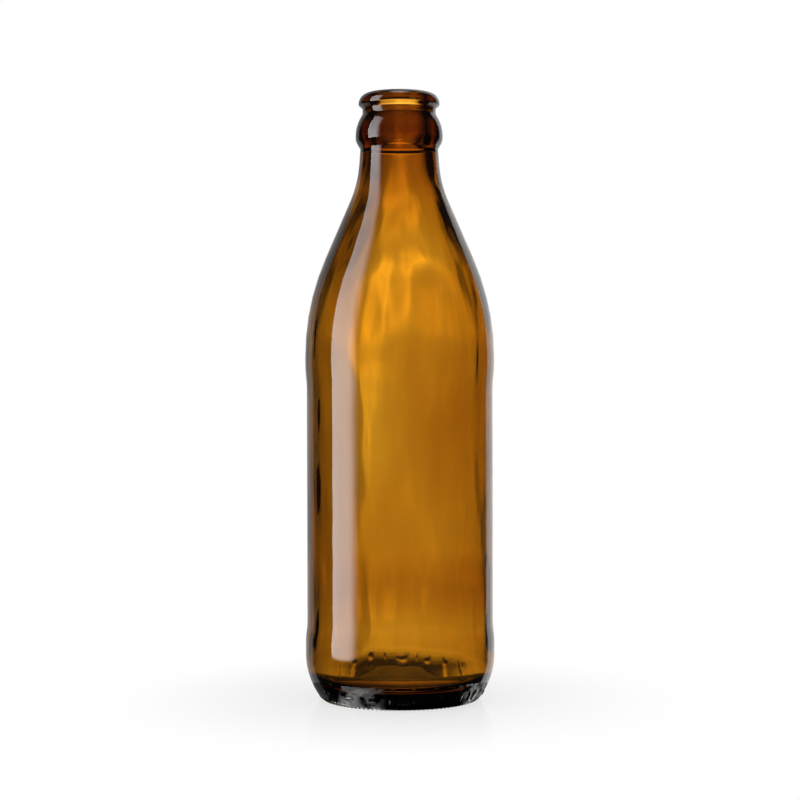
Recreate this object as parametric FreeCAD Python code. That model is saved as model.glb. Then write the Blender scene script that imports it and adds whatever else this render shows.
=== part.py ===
import FreeCAD, Part
import math
import os

# A short-necked beer bottle of amber glass, empty and open, for a 26 mm crown cork.
# Units are millimetres. +Z runs up the bottle's axis, and the origin is the centre of the
# ring that it stands on. Every outline below lies in the XZ plane, with X as the radius.

# Overall
total_height = 198.35
body_diameter = 61.9        # the two contact bands, which rub on other bottles

# Crown finish: heights are measured down from the mouth, widths out from the bore
mouth_bore = 16.0
lip_inner_radius = 1.5
lip_width = 5.3             # from the bore to the bead, which is then 26.6 across
bead_top_radius = 3.6
bead_height = 3.95
bead_lower_radius = 0.6
groove_depth = 1.3
groove_top_drop = 5.05
groove_bottom_drop = 6.9
groove_top_radius = 0.8
groove_bottom_radius = 1.4
ring_rise = 1.0             # the reinforcing ring's crest, beyond the bead
ring_crest_drop = 10.85
ring_crest_radius = 12.5
ring_bottom_drop = 15.75
ring_bottom_radius = 4.5
finish_height = 18.25
finish_root_radius = 1.2

# Neck and shoulder
neck_diameter = 25.5        # just under the finish
neck_taper = 4.1            # degrees from the axis
neck_length = 11.3          # from the finish to where neck and shoulder lines meet
neck_radius = 36.6
shoulder_angle = 23.5       # degrees from the axis
shoulder_radius = 80.0

# Body bands and label panel
panel_recess = 0.5
upper_band_height = 2.5
upper_fade_height = 8.5     # from the band down to the full depth of the panel
lower_fade_height = 7.0
lower_band_height = 4.0
fade_fill = 0.98            # share of a fade that its two arcs take
heel_height = 14.8

# Heel and base
heel_angle = 32.4           # degrees from the axis
heel_upper_radius = 23.2
heel_lower_radius = 4.2
bearing_width = 1.8         # the flat land that the bottle stands on
bearing_edge_radius = 1.5
push_up_height = 5.4

# Knurled bearing ring, which keeps a hot bottle off the conveyor
knurl_count = 104
knurl_inset = 0.45          # inwards from the land's outer edge
knurl_reach = 1.75          # outwards from the land's outer edge
knurl_slope = 40.0          # degrees from the standing plane
knurl_fill = 0.5            # share of the pitch that a rib takes
knurl_root_height = 1.3

# Inside
bore_taper = 0.4            # degrees; the bore widens downwards
bore_depth = 16.75
bore_root_radius = 5.0
bore_flare_angle = 20.0     # degrees from the axis, where the bore opens into the neck
bore_step = 0.85            # how much wider the neck is than the bore
shoulder_wall = 2.5
body_wall = 2.3
base_thickness = 4.4
inner_neck_radius = 30.0
inner_shoulder_radius = 75.0
inner_heel_radius = 5.0
floor_angle = 14.0          # degrees from level, the slope of the floor towards its rim
floor_crown = 8.1           # radius at which the floor's crown would meet that slope


touching = 1e-6             # runs shorter than this are left out


def tangent(degrees):
    return math.tan(math.radians(degrees))


def outline_edges(corners):
    """A closed outline of corners (radius, height, rounding), each rounded by a tangent arc.

    Where two arcs want more than the run between them, both give way in the same ratio.
    """
    points = [FreeCAD.Vector(radius, 0, height) for radius, height, rounding in corners]
    aheads = [
        points[(index + 1) % len(points)] - point for index, point in enumerate(points)
    ]
    halves = [
        (-aheads[index - 1]).getAngle(ahead) / 2 for index, ahead in enumerate(aheads)
    ]
    reaches = [corner[2] / math.tan(half) for corner, half in zip(corners, halves)]
    shares = [1.0] * len(points)
    for index, reach in enumerate(reaches):
        wanted = reaches[index - 1] + reach
        if wanted > aheads[index - 1].Length:
            share = aheads[index - 1].Length / wanted
            shares[index - 1] = min(shares[index - 1], share)
            shares[index] = min(shares[index], share)
    edges = []
    ends = []
    for index, corner in enumerate(points):
        reach = reaches[index] * shares[index]
        back = -aheads[index - 1].normalize()
        ahead = aheads[index].normalize()
        arc_start = corner + back * reach
        arc_end = corner + ahead * reach
        ends.append((arc_start, arc_end))
        if reach:
            half = halves[index]
            bisector = (back + ahead).normalize()
            depth = reach / math.cos(half) - reach * math.tan(half)
            edges.append(
                Part.Arc(arc_start, corner + bisector * depth, arc_end).toShape()
            )
    for index, (arc_start, arc_end) in enumerate(ends):
        run_start = ends[index - 1][1]
        if run_start.distanceToPoint(arc_start) > touching:
            edges.append(Part.makeLine(run_start, arc_start))
    return Part.__sortEdges__(edges)


def revolved(corners):
    """The solid that a closed outline sweeps round the bottle's axis."""
    face = Part.Face(Part.Wire(outline_edges(corners)))
    return face.revolve(FreeCAD.Vector(0, 0, 0), FreeCAD.Vector(0, 0, 1), 360)


def meeting(first, first_angle, second, second_angle):
    """Where two lines meet, each given by a point and its angle outwards going down."""
    first_slope = tangent(first_angle)
    second_slope = tangent(second_angle)
    height = (second[0] - first[0] + second_slope * second[1] - first_slope * first[1]) / (
        second_slope - first_slope
    )
    return first[0] + first_slope * (first[1] - height), height


def offset_inwards(point, angle, wall):
    """A point of the line that lies one wall inside a line that slopes by angle."""
    turn = math.radians(angle)
    return point[0] - wall * math.cos(turn), point[1] - wall * math.sin(turn)


# Places that the outside and the inside share
body_radius = body_diameter / 2
panel_radius = body_radius - panel_recess
bore_radius = mouth_bore / 2
finish_bottom = total_height - finish_height
neck_top = (neck_diameter / 2, finish_bottom)
neck_corner_height = finish_bottom - neck_length
neck_corner = (neck_top[0] + neck_length * tangent(neck_taper), neck_corner_height)
shoulder_drop = (body_radius - neck_corner[0]) / tangent(shoulder_angle)
shoulder_corner = (body_radius, neck_corner_height - shoulder_drop)
shoulder_end = shoulder_corner[1] - shoulder_radius * tangent(shoulder_angle / 2)
upper_band_bottom = shoulder_end - upper_band_height
panel_top = upper_band_bottom - upper_fade_height
lower_band_top = heel_height + lower_band_height
panel_bottom = lower_band_top + lower_fade_height
heel_corner_height = heel_height - heel_upper_radius * tangent(heel_angle / 2)
foot_radius = body_radius - heel_corner_height * tangent(heel_angle)
bearing_outer = foot_radius - heel_lower_radius * tangent((90 - heel_angle) / 2)
bearing_inner = bearing_outer - bearing_width


def fade_corners(top_radius, top_height, bottom_radius, bottom_height):
    """A shallow S between two upright walls: two equal arcs that meet half way."""
    height = top_height - bottom_height
    step = abs(top_radius - bottom_radius)
    rounding = (height**2 + step**2) / (4 * step) * fade_fill
    return [
        (top_radius, top_height - height / 4, rounding),
        (bottom_radius, bottom_height + height / 4, rounding),
    ]


def finish_corners():
    """The mouth, the bead that the crown grips, the groove and the reinforcing ring."""
    bead = bore_radius + lip_width
    groove = bead - groove_depth
    ring = bead + ring_rise
    return [
        (bore_radius, total_height, lip_inner_radius),
        (bead, total_height, bead_top_radius),
        (bead, total_height - bead_height, bead_lower_radius),
        (groove, total_height - groove_top_drop, groove_top_radius),
        (groove, total_height - groove_bottom_drop, groove_bottom_radius),
        (ring, total_height - ring_crest_drop, ring_crest_radius),
        (ring, total_height - ring_bottom_drop, ring_bottom_radius),
        (neck_top[0], neck_top[1], finish_root_radius),
    ]


def body_corners():
    """Neck, shoulder, the two contact bands and the label panel between them."""
    return [
        (neck_corner[0], neck_corner[1], neck_radius),
        (shoulder_corner[0], shoulder_corner[1], shoulder_radius),
        *fade_corners(body_radius, upper_band_bottom, panel_radius, panel_top),
        *fade_corners(panel_radius, panel_bottom, body_radius, lower_band_top),
    ]


def base_corners():
    """The heel, the ring that the bottle stands on and the push-up inside it."""
    dome_reach = bearing_inner + bearing_edge_radius
    dome_angle = 2 * math.degrees(math.atan(push_up_height / dome_reach))
    dome_corner = bearing_inner - push_up_height / tangent(dome_angle)
    dome_radius = dome_corner / tangent(dome_angle / 2)
    return [
        (body_radius, heel_corner_height, heel_upper_radius),
        (foot_radius, 0, heel_lower_radius),
        (bearing_inner, 0, bearing_edge_radius),
        (dome_corner, push_up_height, dome_radius),
        (0, push_up_height, 0),
    ]


def cavity_corners():
    """The inside, from the floor up: one wall inside the outer form, then the bore."""
    bore_end = (bore_radius + bore_depth * tangent(bore_taper), total_height - bore_depth)
    neck_inside = (bore_end[0] + bore_step, finish_bottom)
    shoulder_inside = offset_inwards(neck_corner, shoulder_angle, shoulder_wall)
    flare_end = meeting(bore_end, bore_flare_angle, neck_inside, neck_taper)
    neck_end = meeting(neck_inside, neck_taper, shoulder_inside, shoulder_angle)
    panel_inside = panel_radius - body_wall
    band_inside = body_radius - body_wall
    shoulder_end_inside = meeting(shoulder_inside, shoulder_angle, (band_inside, 0), 0)
    floor = push_up_height + base_thickness
    rim_height = floor - (band_inside - floor_crown) * tangent(floor_angle)
    crown_radius = floor_crown / tangent(floor_angle / 2)
    return [
        (0, floor, 0),
        (floor_crown, floor, crown_radius),
        (band_inside, rim_height, inner_heel_radius),
        *reversed(fade_corners(panel_inside, panel_bottom, band_inside, lower_band_top)),
        *reversed(fade_corners(band_inside, upper_band_bottom, panel_inside, panel_top)),
        (shoulder_end_inside[0], shoulder_end_inside[1], inner_shoulder_radius),
        (neck_end[0], neck_end[1], inner_neck_radius),
        (flare_end[0], flare_end[1], bore_root_radius),
        (bore_end[0], bore_end[1], bore_root_radius),
    ]


def knurls():
    """Radial ribs that stand proud of the heel's curve, level with the bearing ring."""
    inner = bearing_outer - knurl_inset
    outer = bearing_outer + knurl_reach
    reach = knurl_root_height / tangent(knurl_slope)
    section = Part.makePolygon(
        [
            FreeCAD.Vector(inner, 0, 0),
            FreeCAD.Vector(outer, 0, 0),
            FreeCAD.Vector(outer + reach, 0, knurl_root_height),
            FreeCAD.Vector(inner, 0, knurl_root_height),
            FreeCAD.Vector(inner, 0, 0),
        ]
    )
    pitch = 360 / knurl_count
    rib = Part.Face(section).revolve(
        FreeCAD.Vector(0, 0, 0), FreeCAD.Vector(0, 0, 1), pitch * knurl_fill
    )
    ribs = []
    for index in range(knurl_count):
        copy = rib.copy()
        copy.rotate(FreeCAD.Vector(0, 0, 0), FreeCAD.Vector(0, 0, 1), index * pitch)
        ribs.append(copy)
    return ribs


def bottle():
    outline = [*finish_corners(), *body_corners(), *base_corners(), *cavity_corners()]
    glass = revolved(outline).multiFuse(knurls())
    return glass.removeSplitter()


os.makedirs("parts", exist_ok=True)
bottle().exportStep("parts/bottle.step")
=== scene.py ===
import math

import bpy
import numpy
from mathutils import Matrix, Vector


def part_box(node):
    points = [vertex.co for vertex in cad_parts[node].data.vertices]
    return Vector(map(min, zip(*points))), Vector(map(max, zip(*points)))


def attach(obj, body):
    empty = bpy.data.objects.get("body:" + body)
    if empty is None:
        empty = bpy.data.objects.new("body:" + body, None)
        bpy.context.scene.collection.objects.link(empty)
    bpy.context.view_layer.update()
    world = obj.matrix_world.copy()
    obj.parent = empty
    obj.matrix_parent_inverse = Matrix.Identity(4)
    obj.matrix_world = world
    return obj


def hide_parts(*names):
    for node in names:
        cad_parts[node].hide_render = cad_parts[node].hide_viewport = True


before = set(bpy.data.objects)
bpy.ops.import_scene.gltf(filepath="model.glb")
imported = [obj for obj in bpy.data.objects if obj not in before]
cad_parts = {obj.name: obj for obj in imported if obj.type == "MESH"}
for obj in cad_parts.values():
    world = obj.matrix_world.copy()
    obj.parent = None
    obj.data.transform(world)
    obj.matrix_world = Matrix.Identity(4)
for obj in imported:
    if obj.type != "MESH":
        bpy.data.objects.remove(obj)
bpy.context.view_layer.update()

# An empty, short-necked beer bottle of amber glass on a white studio table.
# All sizes are in metres. The height and the widest radius come from the frame.

bottle_low, bottle_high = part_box("bottle")
HEIGHT = bottle_high[2]
BODY_RADIUS = bottle_high[0]

# Crown finish: heights are measured down from the mouth
BORE_RADIUS = 0.0080
LIP_INNER_ROUND = 0.0015
BEAD_RADIUS = 0.0133
BEAD_TOP_ROUND = 0.0036
BEAD_DROP = 0.00395
BEAD_LOWER_ROUND = 0.0006
GROOVE_RADIUS = 0.0120
GROOVE_TOP_DROP = 0.00505
GROOVE_BOTTOM_DROP = 0.0069
GROOVE_TOP_ROUND = 0.0008
GROOVE_BOTTOM_ROUND = 0.0014
RING_RADIUS = 0.0143
RING_CREST_DROP = 0.01085
RING_CREST_ROUND = 0.0125
RING_BOTTOM_DROP = 0.01575
RING_BOTTOM_ROUND = 0.0045
FINISH_DROP = 0.01825
FINISH_ROOT_ROUND = 0.0012

# Neck, shoulder, bands and label panel
NECK_RADIUS = 0.01275
NECK_TAPER = math.radians(4.1)
NECK_LENGTH = 0.0113
NECK_ROUND = 0.0366
SHOULDER_SLOPE = math.radians(23.5)
SHOULDER_ROUND = 0.080
PANEL_RECESS = 0.0005
PANEL_RADIUS = BODY_RADIUS - PANEL_RECESS
UPPER_BAND = 0.0025
UPPER_FADE = 0.0085
LOWER_FADE = 0.0070
LOWER_BAND = 0.0040
FADE_FILL = 0.98
HEEL_TOP = 0.0148

# Heel, bearing ring and push-up
HEEL_SLOPE = math.radians(32.4)
HEEL_UPPER_ROUND = 0.0232
HEEL_LOWER_ROUND = 0.0042
BEARING_WIDTH = 0.0018
BEARING_ROUND = 0.0015
PUSH_UP = 0.0054

# Inside
BORE_TAPER = math.radians(0.4)
BORE_DEPTH = 0.01675
BORE_ROOT_ROUND = 0.0050
BORE_FLARE = math.radians(20.0)
BORE_STEP = 0.00085
SHOULDER_WALL = 0.0025
BODY_WALL = 0.0023
BASE_THICKNESS = 0.0044
INNER_NECK_ROUND = 0.030
INNER_SHOULDER_ROUND = 0.075
INNER_HEEL_ROUND = 0.005
FLOOR_SLOPE = math.radians(14.0)
FLOOR_CROWN = 0.0081

# Knurls under the heel
KNURLS = 104
KNURL_REACH = 0.00175          # outwards from the flat land
KNURL_SLOPE = math.radians(40.0)
KNURL_TOP = 0.0013

# Mesh
KNURL_STEPS = 3                # the rib's flat, its one sloping side and the gap
RIB_COLUMNS = 2                # the columns of points that are lowered for the flat
STEPS_ROUND = KNURL_STEPS * KNURLS
TURN_STEP = math.radians(5.0)  # the most that one arc step turns
OUTER_STEP = 0.0070            # the longest step on the outside
HEEL_STEP = 0.0009             # and on the heel
INNER_STEP = 0.0024            # and on the inside
SAME_PLACE = 1e-6              # points nearer than this are one
NO_RUN = 1e-7                  # a run shorter than this is left out

# The inside wall is even in the bore and on the floor, and comes to its full unevenness this
# far below the one and above the other
BORE_FADE = 0.02
FLOOR_FADE = 0.01

# Where the blown wall is thinner, or thicker where the amount is below nought: degrees round
# from the front, height, reach round in degrees, reach up, and the amount
UNEVEN_WALL = [
    (22, 0.1465, 42, 0.011, 0.00085), (158, 0.1465, 42, 0.011, 0.00065),
    (-24, 0.146, 14, 0.012, 0.00040), (-156, 0.146, 14, 0.012, 0.00030),
    (-20, 0.093, 20, 0.034, 0.00078), (-158, 0.088, 22, 0.030, 0.00075),
    (8, 0.0250, 80, 0.0060, 0.00040), (172, 0.0250, 80, 0.0060, 0.00040),
    (42, 0.093, 24, 0.018, -0.00055), (140, 0.088, 26, 0.022, -0.00045),
    (15, 0.037, 75, 0.008, -0.00075), (165, 0.037, 75, 0.008, -0.00060),
    (-30, 0.166, 50, 0.006, -0.00040), (150, 0.170, 50, 0.006, -0.00040),
]
LEAST_SHARE = 0.01             # a patch ends where its share falls to this
WAVE_DEPTH = 0.00075           # the waves of the inside wall, from hollow to crest
WAVE_SPREAD = (0.011, 0.011, 0.034)
RIPPLE_DEPTH = 0.00016
RIPPLE_SPREAD = (0.0045, 0.0045, 0.022)
WAVE_CENTRE = (0.003, 0.005, 0.002)

# Raised mould marks on the heel, as rows and columns of its faces: first column, first row,
# columns, rows. The first set is in front and the second at the back.
FRONT_MARKS = [
    (-50, 5, 1, 4), (-48, 5, 1, 2), (-48, 8, 1, 1), (-33, 5, 1, 3), (-31, 5, 1, 3), (-29, 7, 1, 1),
    (-19, 4, 1, 4), (-17, 4, 2, 1), (-17, 7, 2, 1), (-6, 5, 1, 1), (-6, 7, 1, 1), (-4, 5, 1, 3),
    (7, 5, 1, 3), (9, 5, 1, 1), (9, 7, 1, 1), (16, 5, 1, 1), (16, 7, 1, 1), (22, 5, 1, 4),
    (24, 5, 1, 4), (32, 5, 2, 1), (32, 7, 2, 1), (35, 5, 1, 4), (37, 5, 1, 4), (44, 5, 1, 4),
    (48, 5, 1, 4), (50, 5, 1, 2), (50, 8, 1, 1), (56, 5, 1, 4), (58, 5, 1, 4), (63, 6, 1, 2),
]
BACK_MARKS = [
    (112, 11, 1, 2), (115, 11, 1, 2), (126, 11, 1, 1), (128, 11, 1, 2), (137, 11, 1, 2),
    (139, 11, 1, 1), (146, 11, 1, 2), (153, 11, 1, 2), (155, 11, 1, 1), (164, 11, 1, 2),
    (172, 11, 1, 2), (174, 11, 1, 2), (186, 11, 1, 1), (188, 11, 1, 2), (197, 11, 1, 2),
]
MARK_SLOPE = 0.00014           # how wide a mark's sloping sides are
FRONT_RISE = 0.00045
BACK_RISE = 0.00018


# ---------------------------------------------------------------- outline

def where_lines_meet(first, first_slope, second, second_slope):
    """Where two walls meet, each given by a point and its slope outwards going down."""
    a, b = math.tan(first_slope), math.tan(second_slope)
    height = (second[0] - first[0] + b * second[1] - a * first[1]) / (b - a)
    return first[0] + a * (first[1] - height), height


def one_wall_in(point, slope, wall):
    """A point of the line that lies one wall inside a sloping wall."""
    return point[0] - wall * math.cos(slope), point[1] - wall * math.sin(slope)


def rounded_stations(start, corners, end, longest):
    """Stations (radius, height) from start to end, by way of corners (radius, height, rounding)."""
    stations = [start]
    points = [start] + [corner[:2] for corner in corners] + [end]

    def run_to(place):
        here = stations[-1]
        gap = math.dist(here, place)
        if gap < NO_RUN:
            return
        steps = math.ceil(gap / longest)
        for step in range(1, steps + 1):
            share = step / steps
            stations.append((here[0] + (place[0] - here[0]) * share,
                             here[1] + (place[1] - here[1]) * share))

    for before, (radius, height, rounding), after in zip(points, corners, points[2:]):
        back = math.atan2(before[1] - height, before[0] - radius)
        ahead = math.atan2(after[1] - height, after[0] - radius)
        opening = math.remainder(ahead - back, math.tau)
        half = abs(opening) / 2
        setback = rounding / math.tan(half)
        run_to((radius + setback * math.cos(back), height + setback * math.sin(back)))
        arc_start = stations[-1]
        middle = back + opening / 2
        centre = (radius + rounding / math.sin(half) * math.cos(middle),
                  height + rounding / math.sin(half) * math.sin(middle))
        first_angle = math.atan2(arc_start[1] - centre[1], arc_start[0] - centre[0])
        turn = -math.copysign(math.pi - 2 * half, opening)
        steps = max(
            math.ceil(abs(turn) / TURN_STEP), math.ceil(abs(turn) * rounding / longest))
        for step in range(1, steps + 1):
            angle = first_angle + turn * step / steps
            stations.append((centre[0] + rounding * math.cos(angle),
                             centre[1] + rounding * math.sin(angle)))
    run_to(end)
    return stations


def fade(top_radius, top, bottom_radius, bottom):
    """A shallow S between two upright walls: two equal arcs that meet half way."""
    height = top - bottom
    step = abs(top_radius - bottom_radius)
    rounding = (height ** 2 + step ** 2) / (4 * step) * FADE_FILL
    return [(top_radius, top - height / 4, rounding),
            (bottom_radius, bottom + height / 4, rounding)]


# Places that the stations share
lip_foot = (BORE_RADIUS, HEIGHT - LIP_INNER_ROUND)
finish_bottom = HEIGHT - FINISH_DROP
neck_top = (NECK_RADIUS, finish_bottom)
neck_corner = (
    NECK_RADIUS + NECK_LENGTH * math.tan(NECK_TAPER), finish_bottom - NECK_LENGTH)
shoulder_corner = neck_corner[1] - (BODY_RADIUS - neck_corner[0]) / math.tan(SHOULDER_SLOPE)
band_bottom = shoulder_corner - SHOULDER_ROUND * math.tan(SHOULDER_SLOPE / 2) - UPPER_BAND
lower_band_top = HEEL_TOP + LOWER_BAND
heel_corner_height = HEEL_TOP - HEEL_UPPER_ROUND * math.tan(HEEL_SLOPE / 2)
foot_radius = BODY_RADIUS - heel_corner_height * math.tan(HEEL_SLOPE)
land_outer = foot_radius - HEEL_LOWER_ROUND * math.tan((math.pi / 2 - HEEL_SLOPE) / 2)
land_inner = land_outer - BEARING_WIDTH
floor_height = PUSH_UP + BASE_THICKNESS


def heel_stations():
    """From the middle of the push-up, over the standing land, to the top of the heel."""
    dome_angle = 2 * math.atan(PUSH_UP / (land_inner + BEARING_ROUND))
    dome_corner = land_inner - PUSH_UP / math.tan(dome_angle)
    corners = [
        (dome_corner, PUSH_UP, dome_corner / math.tan(dome_angle / 2)),
        (land_inner, 0, BEARING_ROUND),
        (foot_radius, 0, HEEL_LOWER_ROUND),
        (BODY_RADIUS, heel_corner_height, HEEL_UPPER_ROUND),
    ]
    return rounded_stations((0, PUSH_UP), corners, (BODY_RADIUS, HEEL_TOP), HEEL_STEP)


def outer_stations():
    """From the top of the heel up the outside and over the lip into the bore."""
    corners = [
        *reversed(fade(PANEL_RADIUS, lower_band_top + LOWER_FADE, BODY_RADIUS, lower_band_top)),
        *reversed(fade(BODY_RADIUS, band_bottom, PANEL_RADIUS, band_bottom - UPPER_FADE)),
        (BODY_RADIUS, shoulder_corner, SHOULDER_ROUND),
        (*neck_corner, NECK_ROUND),
        (*neck_top, FINISH_ROOT_ROUND),
        (RING_RADIUS, HEIGHT - RING_BOTTOM_DROP, RING_BOTTOM_ROUND),
        (RING_RADIUS, HEIGHT - RING_CREST_DROP, RING_CREST_ROUND),
        (GROOVE_RADIUS, HEIGHT - GROOVE_BOTTOM_DROP, GROOVE_BOTTOM_ROUND),
        (GROOVE_RADIUS, HEIGHT - GROOVE_TOP_DROP, GROOVE_TOP_ROUND),
        (BEAD_RADIUS, HEIGHT - BEAD_DROP, BEAD_LOWER_ROUND),
        (BEAD_RADIUS, HEIGHT, BEAD_TOP_ROUND),
        (BORE_RADIUS, HEIGHT, LIP_INNER_ROUND),
    ]
    return rounded_stations((BODY_RADIUS, HEEL_TOP), corners, lip_foot, OUTER_STEP)


def inner_stations():
    """From under the lip down the inside to the middle of the floor."""
    bore_end = (BORE_RADIUS + BORE_DEPTH * math.tan(BORE_TAPER), HEIGHT - BORE_DEPTH)
    neck_inside = (bore_end[0] + BORE_STEP, finish_bottom)
    shoulder_inside = one_wall_in(neck_corner, SHOULDER_SLOPE, SHOULDER_WALL)
    panel_inside = PANEL_RADIUS - BODY_WALL
    band_inside = BODY_RADIUS - BODY_WALL
    rim_height = floor_height - (band_inside - FLOOR_CROWN) * math.tan(FLOOR_SLOPE)
    corners = [
        (*bore_end, BORE_ROOT_ROUND),
        (*where_lines_meet(bore_end, BORE_FLARE, neck_inside, NECK_TAPER), BORE_ROOT_ROUND),
        (*where_lines_meet(neck_inside, NECK_TAPER, shoulder_inside, SHOULDER_SLOPE),
         INNER_NECK_ROUND),
        (*where_lines_meet(shoulder_inside, SHOULDER_SLOPE, (band_inside, 0), 0),
         INNER_SHOULDER_ROUND),
        *fade(band_inside, band_bottom, panel_inside, band_bottom - UPPER_FADE),
        *fade(panel_inside, lower_band_top + LOWER_FADE, band_inside, lower_band_top),
        (band_inside, rim_height, INNER_HEEL_ROUND),
        (FLOOR_CROWN, floor_height, FLOOR_CROWN / math.tan(FLOOR_SLOPE / 2)),
    ]
    return rounded_stations(lip_foot, corners, (0, floor_height), INNER_STEP)


# ---------------------------------------------------------------- bottle

def draw_outline(stations, inside_from):
    """One line of edges through the stations, with the inside's points in a weighted group."""
    bpy.ops.object.select_all(action="DESELECT")
    bpy.ops.mesh.primitive_plane_add()
    piece = bpy.context.object
    piece.name = "bottle_glass"
    bpy.ops.object.mode_set(mode="EDIT")
    bpy.ops.mesh.merge(type="CENTER")
    bpy.ops.transform.translate(value=(0, 0, stations[0][1]))
    for (radius, height), (next_radius, next_height) in zip(stations, stations[1:]):
        bpy.ops.mesh.extrude_region_move(
            TRANSFORM_OT_translate={"value": (0, radius - next_radius, next_height - height)})
    bpy.ops.object.mode_set(mode="OBJECT")
    inside = piece.vertex_groups.new(name="inside")
    for vertex in piece.data.vertices:
        if vertex.index >= inside_from:
            below_bore = (HEIGHT - BORE_DEPTH - vertex.co.z) / BORE_FADE
            above_floor = (vertex.co.z - floor_height) / FLOOR_FADE
            weight = max(0.0, min(1.0, below_bore, above_floor))
            inside.add([vertex.index], weight, "REPLACE")
    return piece


def places_of(piece):
    """The piece's points as radius, height and column."""
    flat = numpy.empty(3 * len(piece.data.vertices), dtype=numpy.float32)
    piece.data.vertices.foreach_get("co", flat)
    x, y, z = flat.reshape(-1, 3).T
    turns = numpy.arctan2(x, -y) / math.tau
    return numpy.hypot(x, y), z, numpy.rint(turns * STEPS_ROUND).astype(int) % STEPS_ROUND


def on_ring(radii, heights, station):
    """Which points lie on the ring that a station sweeps."""
    radius, height = station
    return (abs(radii - radius) < SAME_PLACE) & (abs(heights - height) < SAME_PLACE)


def select_points(piece, wanted):
    """Selects the wanted points and leaves the piece in edit mode."""
    bpy.ops.object.mode_set(mode="EDIT")
    bpy.ops.mesh.select_all(action="DESELECT")
    bpy.ops.object.mode_set(mode="OBJECT")
    piece.data.vertices.foreach_set("select", wanted)
    bpy.ops.object.mode_set(mode="EDIT")


def press_knurls(piece, stations):
    """Lowers the heel's rings, along one rib, to the level that stands on the table.

    The slice's last column keeps its height, so the mesh is open between it and the next rib.
    """
    radii, heights, columns = places_of(piece)
    for radius, height in stations:
        rib_height = max(0.0, radius - land_outer - KNURL_REACH) * math.tan(KNURL_SLOPE)
        if radius <= land_outer or rib_height >= min(height, KNURL_TOP):
            continue
        ring = on_ring(radii, heights, (radius, height))
        select_points(piece, ring & (columns < RIB_COLUMNS))
        bpy.ops.transform.translate(value=(0, 0, rib_height - height))
        bpy.ops.object.mode_set(mode="OBJECT")


def spin_knurl(piece):
    """The slice of the bottle that one knurl takes."""
    bpy.ops.object.mode_set(mode="EDIT")
    bpy.ops.mesh.select_all(action="SELECT")
    bpy.ops.mesh.spin(
        steps=KNURL_STEPS, angle=math.tau / KNURLS, center=(0, 0, 0), axis=(0, 0, 1))
    bpy.ops.object.mode_set(mode="OBJECT")


def repeat_knurl(piece):
    """Copies the slice all the way round and joins the copies."""
    bpy.ops.object.mode_set(mode="EDIT")
    bpy.ops.mesh.select_all(action="SELECT")
    bpy.ops.mesh.spin(
        steps=KNURLS - 1, angle=math.tau * (KNURLS - 1) / KNURLS, dupli=True,
        center=(0, 0, 0), axis=(0, 0, 1))
    bpy.ops.mesh.select_all(action="SELECT")
    bpy.ops.mesh.remove_doubles(threshold=SAME_PLACE)
    bpy.ops.mesh.normals_make_consistent(inside=False)
    bpy.ops.object.mode_set(mode="OBJECT")


def displace(piece, group, strength, mid_level=0.0, texture=None, spread=None):
    """Moves the group's points along their normals, by a stretched texture if there is one."""
    shift = piece.modifiers.new("shift", "DISPLACE")
    shift.vertex_group = group
    shift.strength = strength
    shift.mid_level = mid_level
    if texture:
        bpy.ops.object.empty_add(location=WAVE_CENTRE)
        holder = bpy.context.object
        holder.scale = spread
        bpy.context.view_layer.update()
        shift.texture = texture
        shift.texture_coords = "OBJECT"
        shift.texture_coords_object = holder
        bpy.context.view_layer.objects.active = piece
    bpy.ops.object.modifier_apply(modifier=shift.name)
    if texture:
        bpy.data.objects.remove(holder)


def vary_wall(piece):
    """Lets the inside wander as blown glass does: thin and thick places, waves and ripples."""
    radii, heights, columns = places_of(piece)
    turns = columns * (360 / STEPS_ROUND)
    share = numpy.zeros(len(heights))
    for vertex in piece.data.vertices:
        if vertex.groups:
            share[vertex.index] = vertex.groups[0].weight
    for turn, middle, reach_round, reach_up, amount in UNEVEN_WALL:
        aside = (turns - turn + 180) % 360 - 180
        away = (aside / reach_round) ** 2 + ((heights - middle) / reach_up) ** 2
        patch = share * numpy.exp(-away)
        group = piece.vertex_groups.new(name="patch")
        for index in numpy.flatnonzero(patch > LEAST_SHARE):
            group.add([int(index)], float(patch[index]), "REPLACE")
        displace(piece, group.name, -amount)
        piece.vertex_groups.remove(piece.vertex_groups["patch"])
    for name, depth, spread in (("waves", WAVE_DEPTH, WAVE_SPREAD),
                                ("ripples", RIPPLE_DEPTH, RIPPLE_SPREAD)):
        texture = bpy.data.textures.new(name, "CLOUDS")
        texture.noise_scale = 1.0
        texture.noise_depth = 1
        displace(piece, "inside", depth, mid_level=0.5, texture=texture, spread=spread)


def raise_marks(piece, stations):
    """Raises small bars and pips from the heel's faces, with sloping sides."""
    radii, heights, columns = places_of(piece)
    rows = numpy.full(len(heights), -1)
    first = next(index for index, station in enumerate(stations) if station[0] > foot_radius)
    for index, station in enumerate(stations[first:]):
        rows[on_ring(radii, heights, station)] = index
    for marks, rise in ((FRONT_MARKS, FRONT_RISE), (BACK_MARKS, BACK_RISE)):
        marked = numpy.zeros(len(piece.data.vertices), dtype=bool)
        for column, row, wide, tall in marks:
            beside = (columns - column) % STEPS_ROUND
            marked[:len(rows)] |= (beside <= wide) & (rows >= row) & (rows <= row + tall)
        select_points(piece, marked)
        bpy.ops.mesh.select_mode(type="VERT")
        bpy.ops.mesh.inset(thickness=MARK_SLOPE, use_even_offset=True)
        bpy.ops.transform.shrink_fatten(value=rise)
        bpy.ops.object.mode_set(mode="OBJECT")


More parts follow.
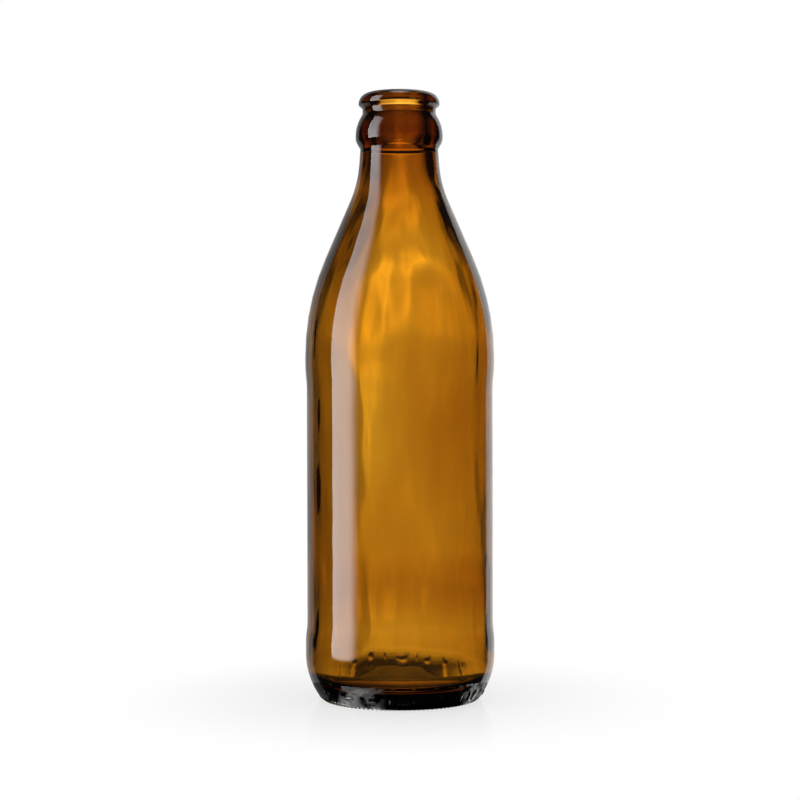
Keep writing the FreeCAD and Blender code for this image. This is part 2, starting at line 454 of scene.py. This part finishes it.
def make_bottle():
    """Draws the wall's outline, from the push-up over the mouth to the floor, and turns it."""
    heel, outer, inner = heel_stations(), outer_stations(), inner_stations()
    stations = heel + outer[1:] + inner[1:]
    piece = draw_outline(stations, len(heel) + len(outer) - 1)
    spin_knurl(piece)
    press_knurls(piece, heel)
    repeat_knurl(piece)
    vary_wall(piece)
    raise_marks(piece, heel)
    return piece


# The tint of the glass's surface, and how strongly the glass takes light away, for each metre,
# as red, green and blue
GLASS_TINT = (1.0, 0.78, 0.20)
GLASS_ABSORPTION = (160, 274, 500)
GLASS_IOR = 1.52

# The fire-polished skin: faint broad waves all over, and a fine grain that is full on the finish
# and faint below it. The scales are those of the noise, and the depths are in metres.
SKIN_WAVE_SCALE = 90.0
SKIN_WAVE_DEPTH = 0.00006
SKIN_GRAIN_SCALE = 1500.0
SKIN_GRAIN_DEPTH = 0.00002
GRAIN_BELOW_FINISH = 0.08
GRAIN_FADE = 0.002             # from the finish's foot, up and down


# ---------------------------------------------------------------- nodes

def new_node(tree, kind, **values):
    """A node with its sockets set; a value is a plain one, or another node's output."""
    node = tree.nodes.new(kind)
    for name, value in values.items():
        socket = node.inputs[name.replace("_", " ")]
        if isinstance(value, bpy.types.NodeSocket):
            tree.links.new(value, socket)
        else:
            socket.default_value = value
    return node


def maths(tree, operation, *inputs):
    node = tree.nodes.new("ShaderNodeMath")
    node.operation = operation
    for index, value in enumerate(inputs):
        if isinstance(value, (int, float)):
            node.inputs[index].default_value = value
        else:
            tree.links.new(value, node.inputs[index])
    return node.outputs["Value"]


def chosen(tree, switch, off, on):
    """off where switch is 0, and on where it is 1."""
    return maths(tree, "MULTIPLY_ADD", maths(tree, "SUBTRACT", on, off), switch, off)


def curve_of(tree, socket, stops):
    """A smooth curve through stops of (place, value), from the first place to the last."""
    first, last = stops[0][0], stops[-1][0]
    share = maths(tree, "DIVIDE", maths(tree, "SUBTRACT", socket, first), last - first)
    ramp = new_node(tree, "ShaderNodeValToRGB", Fac=share)
    ramp.color_ramp.interpolation = "EASE"
    elements = ramp.color_ramp.elements
    most = max(value for place, value in stops)
    for index, (place, value) in enumerate(stops):
        position = (place - first) / (last - first)
        if index < 2:
            elements[index].position = position
        else:
            elements.new(position)
        elements[index].color = (value / most,) * 3 + (1,)
    return maths(tree, "MULTIPLY", ramp.outputs["Color"], most)


def soft_patch(tree, around, upward, centre, size, amount):
    """A soft oval of light on the backdrop, in degrees round and up."""
    squares = []
    for socket, middle, half in zip((around, upward), centre, size):
        away = maths(tree, "DIVIDE", maths(tree, "SUBTRACT", socket, middle), half)
        squares.append(maths(tree, "POWER", maths(tree, "ABSOLUTE", away), 2.0))
    spread = maths(tree, "MULTIPLY", maths(tree, "ADD", *squares), -1.0)
    return maths(tree, "MULTIPLY", maths(tree, "EXPONENT", spread), amount)


def object_place(tree):
    """A point's place on its piece, whole and split into X, Y and Z."""
    place = new_node(tree, "ShaderNodeTexCoord").outputs["Object"]
    return place, new_node(tree, "ShaderNodeSeparateXYZ", Vector=place).outputs


def degrees_of(tree, operation, *inputs):
    return maths(tree, "MULTIPLY", maths(tree, operation, *inputs), 180 / math.pi)


def new_material(name):
    """A new material, its node tree and its Principled BSDF."""
    material = bpy.data.materials.new(name)
    material.use_nodes = True
    return material, material.node_tree, material.node_tree.nodes["Principled BSDF"]


def show_surface(tree, shader):
    tree.links.new(shader, tree.nodes["Material Output"].inputs["Surface"])


# ---------------------------------------------------------------- glass

def glass_skin(tree):
    """The normal of a skin with faint broad waves, and a fine grain on the finish."""
    place, (across, along, up) = object_place(tree)
    on_finish = new_node(
        tree, "ShaderNodeMapRange", Value=up, From_Min=finish_bottom - GRAIN_FADE,
        From_Max=finish_bottom + GRAIN_FADE, To_Min=GRAIN_BELOW_FINISH)
    grain = new_node(tree, "ShaderNodeTexNoise", Vector=place, Scale=SKIN_GRAIN_SCALE, Detail=1.0)
    waves = new_node(tree, "ShaderNodeTexNoise", Vector=place, Scale=SKIN_WAVE_SCALE, Detail=1.0)
    height = maths(tree, "MULTIPLY", grain.outputs["Fac"], on_finish.outputs["Result"])
    fine = new_node(tree, "ShaderNodeBump", Distance=SKIN_GRAIN_DEPTH, Height=height)
    broad = new_node(
        tree, "ShaderNodeBump", Distance=SKIN_WAVE_DEPTH, Height=waves.outputs["Fac"],
        Normal=fine.outputs["Normal"])
    return broad.outputs["Normal"]


def amber_glass():
    """Clear amber glass that takes light away by its thickness, most of all the blue."""
    material, tree, surface = new_material("amber_glass")
    surface.inputs["Base Color"].default_value = (*GLASS_TINT, 1)
    surface.inputs["Roughness"].default_value = 0.0
    surface.inputs["IOR"].default_value = GLASS_IOR
    surface.inputs["Transmission Weight"].default_value = 1.0
    tree.links.new(glass_skin(tree), surface.inputs["Normal"])
    most = max(GLASS_ABSORPTION)
    depth = new_node(
        tree, "ShaderNodeVolumeAbsorption", Density=most,
        Color=(*(1 - part / most for part in GLASS_ABSORPTION), 1))
    tree.links.new(depth.outputs["Volume"], tree.nodes["Material Output"].inputs["Volume"])
    return material


bottle = make_bottle()
bottle.data.materials.clear()
bottle.data.materials.append(amber_glass())
bpy.ops.object.select_all(action="DESELECT")
bottle.select_set(True)
bpy.context.view_layer.objects.active = bottle
bpy.ops.object.shade_smooth()
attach(bottle, "root")
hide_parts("bottle")


# ---------------------------------------------------------------- studio

# The backdrop that shows through the glass, by degrees round from straight behind the bottle,
# and by degrees up from level
BACKDROP_AROUND = [
    (-180, 0.8), (-85, 0.6), (-70, 0.03), (-55, 0.06), (-42, 0.25), (-33, 0.42), (-20, 0.54),
    (-10, 0.58), (-5, 0.62), (-2.5, 0.86), (-0.5, 1.08), (2, 1.0), (5, 0.92), (10, 1.08),
    (16, 1.05), (22, 0.8), (33, 0.5), (45, 0.25), (60, 0.03), (85, 0.6), (180, 0.8),
]
BACKDROP_UPWARD = [
    (-90, 0.7), (-56, 0.6), (-46, 0.05), (-34, 0.02), (-28, 0.05), (-23, 0.22), (-18, 0.5),
    (-14, 0.85), (-8, 1.06), (-5, 0.96), (0, 1.0), (3, 1.4), (5.5, 1.05), (9, 1.0), (14, 0.95),
    (20, 0.95), (26, 1.5), (33, 2.2), (42, 2.0), (60, 1.0), (90, 0.8),
]
# Soft ovals of more light, or less where the amount is below nought: centre, size and amount
BACKDROP_PATCHES = [
    ((-1.9, -1.2), (1.5, 3.4), 0.42), ((-0.3, 3.1), (1.6, 1.3), 0.6), ((0, 10.5), (3.0, 3), 0.7),
    ((0, 26), (20, 9), 1.4), ((-20, 14), (11, 6), -0.6), ((36, 22), (20, 12), -1.2),
]
LEAST_LIGHT = 0.02

# Painted shade: light that has crossed more than two walls is dimmed: the ray depth where that
# starts, which two walls reach, the depth where it ends, and the share of light left there
CROSSED_FROM = 5.0
CROSSED_TO = 6.2
CROSSED_SHARE = 0.06

# What the glass mirrors, by the same degrees: a bright wall behind it, less bright on the left,
# a dark room at the sides and in front, and a lit ceiling
MIRRORED_AROUND = [
    (-180, 0.05), (-60, 0.02), (-48, 0.03), (-44, 0.35), (-4, 0.45), (4, 0.8), (44, 0.95),
    (48, 0.03), (60, 0.02), (180, 0.05),
]
CEILING_UPWARD = [(-90, 0.0), (72, 0.0), (82, 3.0), (90, 3.0)]
AMBIENT = 0.75                 # the room's light on the table

# The table, which is seen as plain white far from the bottle, and its polish round the foot
TABLE_RADIUS = 0.6
TABLE_COLOUR = (0.92, 0.92, 0.92, 1)
TABLE_ROUGHNESS = 0.06
TABLE_SHINE = 0.25
WHITE_FROM = 0.025             # the plain white grows from here
WHITE_TO = 0.105               # and is full here, both from the bottle's axis
WHITE_SHARE = 0.7              # the share of plain white nearer than that
POLISH_RADIUS = 0.038
POLISH_DROP = 0.0002           # how far the polish lies under the table's top
POLISH_COLOUR = (0.3, 0.3, 0.3, 1)
POLISH_ROUGHNESS = 0.12

# Painted glints on the polish: a glow that stands in for light focused there, by degrees round from
# the front
PAINTED_GLINTS_AROUND = [
    (-180, 0.0), (-54, 0.0), (-46, 0.8), (-34, 1.0), (-20, 0.8), (-10, 0.0), (50, 0.0),
    (60, 0.8), (72, 1.0), (84, 0.2), (180, 0.0),
]
PAINTED_GLINT_STRENGTH = 2.0
PAINTED_GLINT_SCALE = 140.0
PAINTED_GLINT_FROM = 0.4              # the noise's level where the light begins
PAINTED_GLINT_TO = 0.6                # and where it is full

# The softbox's light across it and up it, as shares of its width and height from its middle
SOFTBOX_ACROSS = [(-0.5, 1.0), (0.12, 1.0), (0.5, 0.05)]
SOFTBOX_UPRIGHT = [
    (-0.5, 0.4), (-0.49, 0.95), (-0.42, 1.0), (-0.2, 0.9), (0.1, 0.7), (0.5, 0.5),
]
SOFTBOX_COLOUR = (1, 0.97, 0.97, 1)


def seen_only_by(piece, *kinds):
    """Keeps a piece of the studio out of every kind of ray but these."""
    for kind in ("camera", "diffuse", "glossy", "transmission", "shadow"):
        setattr(piece, "visible_" + kind, kind in kinds)


def backdrop_through(tree, around, upward, path):
    """The uneven backdrop that glass shows, with painted shade where light has crossed many walls.
    """
    through = maths(
        tree, "MULTIPLY", curve_of(tree, around, BACKDROP_AROUND),
        curve_of(tree, upward, BACKDROP_UPWARD))
    for centre, size, amount in BACKDROP_PATCHES:
        patch = soft_patch(tree, around, upward, centre, size, amount)
        through = maths(tree, "ADD", through, patch)
    through = maths(tree, "MAXIMUM", through, LEAST_LIGHT)
    # Painted shade: the backdrop is dimmed by ray depth for light that has crossed many walls
    crossed = new_node(
        tree, "ShaderNodeMapRange", Value=path["Ray Depth"], From_Min=CROSSED_FROM,
        From_Max=CROSSED_TO, To_Min=1.0, To_Max=CROSSED_SHARE)
    return maths(tree, "MULTIPLY", through, crossed.outputs["Result"])


def make_world():
    """White to the camera, a lit backdrop and a dim room to glass, and soft light to the table."""
    world = bpy.data.worlds.new("studio")
    bpy.context.scene.world = world
    world.use_nodes = True
    tree = world.node_tree
    tree.nodes.clear()
    path = new_node(tree, "ShaderNodeLightPath").outputs
    place = new_node(tree, "ShaderNodeTexCoord").outputs["Generated"]
    across, along, up = new_node(tree, "ShaderNodeSeparateXYZ", Vector=place).outputs
    around = degrees_of(tree, "ARCTAN2", across, along)
    upward = degrees_of(tree, "ARCSINE", up)

    through = backdrop_through(tree, around, upward, path)
    mirrored = maths(
        tree, "ADD", curve_of(tree, around, MIRRORED_AROUND),
        curve_of(tree, upward, CEILING_UPWARD))
    strength = chosen(tree, path["Is Glossy Ray"], AMBIENT, mirrored)
    strength = chosen(tree, path["Is Transmission Ray"], strength, through)
    strength = chosen(tree, path["Is Camera Ray"], strength, 1.0)
    background = new_node(
        tree, "ShaderNodeBackground", Color=(1, 1, 1, 1), Strength=strength)
    new_node(tree, "ShaderNodeOutputWorld", Surface=background.outputs["Background"])


def make_disc(name, radius, height):
    bpy.ops.object.select_all(action="DESELECT")
    bpy.ops.mesh.primitive_circle_add(
        vertices=96, radius=radius, fill_type="NGON", location=(0, 0, height))
    disc = bpy.context.object
    disc.name = name
    return disc


def make_floor():
    """A white table that keeps a faint shadow near the bottle and melts into the room."""
    floor = make_disc("studio_floor", TABLE_RADIUS, 0)
    material, tree, surface = new_material("white_table")
    surface.inputs["Base Color"].default_value = TABLE_COLOUR
    surface.inputs["Roughness"].default_value = TABLE_ROUGHNESS
    surface.inputs["Specular IOR Level"].default_value = TABLE_SHINE
    length = tree.nodes.new("ShaderNodeVectorMath")
    length.operation = "LENGTH"
    tree.links.new(new_node(tree, "ShaderNodeTexCoord").outputs["Object"], length.inputs[0])
    far = new_node(
        tree, "ShaderNodeMapRange", Value=length.outputs["Value"], From_Min=WHITE_FROM,
        From_Max=WHITE_TO, To_Min=WHITE_SHARE, To_Max=1.0)
    far.interpolation_type = "SMOOTHSTEP"
    white = new_node(tree, "ShaderNodeEmission", Color=(1, 1, 1, 1))
    mix = new_node(tree, "ShaderNodeMixShader", Fac=far.outputs["Result"])
    tree.links.new(surface.outputs["BSDF"], mix.inputs[1])
    tree.links.new(white.outputs["Emission"], mix.inputs[2])
    show_surface(tree, mix.outputs["Shader"])
    floor.data.materials.append(material)
    seen_only_by(floor, "camera", "diffuse", "shadow")


def make_polish_and_painted_glints():
    """The table's polish round the foot, with painted glints beside it, for the heel to mirror."""
    gloss = make_disc("table_gloss", POLISH_RADIUS, -POLISH_DROP)
    material, tree, surface = new_material("table_polish_and_painted_glints")
    tree.nodes.remove(surface)
    polish = new_node(
        tree, "ShaderNodeBsdfAnisotropic", Color=POLISH_COLOUR,
        Roughness=POLISH_ROUGHNESS)
    place, (across, along, up) = object_place(tree)
    around = degrees_of(tree, "ARCTAN2", across, maths(tree, "MULTIPLY", along, -1.0))
    painted_glints = curve_of(tree, around, PAINTED_GLINTS_AROUND)
    cloudy = new_node(
        tree, "ShaderNodeTexNoise", Vector=place, Scale=PAINTED_GLINT_SCALE, Detail=2.0)
    broken = new_node(
        tree, "ShaderNodeMapRange", Value=cloudy.outputs["Fac"], From_Min=PAINTED_GLINT_FROM,
        From_Max=PAINTED_GLINT_TO)
    painted_glints = maths(tree, "MULTIPLY", painted_glints, broken.outputs["Result"])
    # Painted glints: the polish glows here, though it is no lamp
    painted_glow = new_node(
        tree, "ShaderNodeEmission", Strength=maths(tree, "MULTIPLY", painted_glints, PAINTED_GLINT_STRENGTH))
    both = tree.nodes.new("ShaderNodeAddShader")
    tree.links.new(polish.outputs["BSDF"], both.inputs[0])
    tree.links.new(painted_glow.outputs["Emission"], both.inputs[1])
    show_surface(tree, both.outputs["Shader"])
    gloss.data.materials.append(material)
    seen_only_by(gloss, "glossy")


def make_softbox(turn_degrees, distance, width, height, middle, strength):
    """A tall softbox that only the glass mirrors, brighter below, with one feathered side."""
    turn = math.radians(turn_degrees)
    bpy.ops.object.select_all(action="DESELECT")
    bpy.ops.mesh.primitive_plane_add(
        size=1, location=(math.sin(turn) * distance, -math.cos(turn) * distance, middle),
        rotation=(math.radians(90), 0, turn))
    box = bpy.context.object
    box.name = "softbox"
    box.scale = (width, height, 1)
    material, tree, surface = new_material("softbox_cloth")
    tree.nodes.remove(surface)
    place, (across, upright, off) = object_place(tree)
    light = maths(
        tree, "MULTIPLY", curve_of(tree, across, SOFTBOX_ACROSS),
        curve_of(tree, upright, SOFTBOX_UPRIGHT))
    cloth = new_node(
        tree, "ShaderNodeEmission", Color=SOFTBOX_COLOUR,
        Strength=maths(tree, "MULTIPLY", light, strength))
    show_surface(tree, cloth.outputs["Emission"])
    box.data.materials.append(material)
    seen_only_by(box, "glossy")


def make_fill(turn_degrees, distance, width, height, middle, strength):
    """A soft lamp for the table and the shadow."""
    light = bpy.data.lights.new("fill", "AREA")
    light.shape = "RECTANGLE"
    light.size = width
    light.size_y = height
    light.energy = strength * math.pi * width * height
    lamp = bpy.data.objects.new("fill", light)
    bpy.context.scene.collection.objects.link(lamp)
    turn = math.radians(turn_degrees)
    lamp.location = (math.sin(turn) * distance, -math.cos(turn) * distance, middle)
    lamp.rotation_euler = (math.radians(90), 0, turn)
    lamp.visible_glossy = False
    lamp.visible_transmission = False


def make_camera(location, downward, roll, lens):
    """A camera in front of the bottle; the turns are in degrees."""
    data = bpy.data.cameras.new("camera")
    data.lens = lens
    data.sensor_width = 36
    camera = bpy.data.objects.new("camera", data)
    bpy.context.scene.collection.objects.link(camera)
    camera.location = location
    camera.rotation_euler = (math.radians(90 - downward), math.radians(roll), 0)
    bpy.context.scene.camera = camera


make_world()
make_floor()
make_polish_and_painted_glints()
make_softbox(-70.5, distance=0.85, width=0.60, height=1.2, middle=0.49, strength=6.5)
make_fill(-60, distance=0.9, width=0.6, height=1.2, middle=0.7, strength=1.5)
make_camera((0.0001, -0.615, 0.1054), downward=0.7, roll=0.12, lens=84.3)

# Two walls are four surfaces for light to cross; the finish and the heel have many more
scene = bpy.context.scene
scene.view_settings.view_transform = "Standard"
scene.cycles.max_bounces = 24
scene.cycles.transmission_bounces = 24
scene.cycles.glossy_bounces = 12
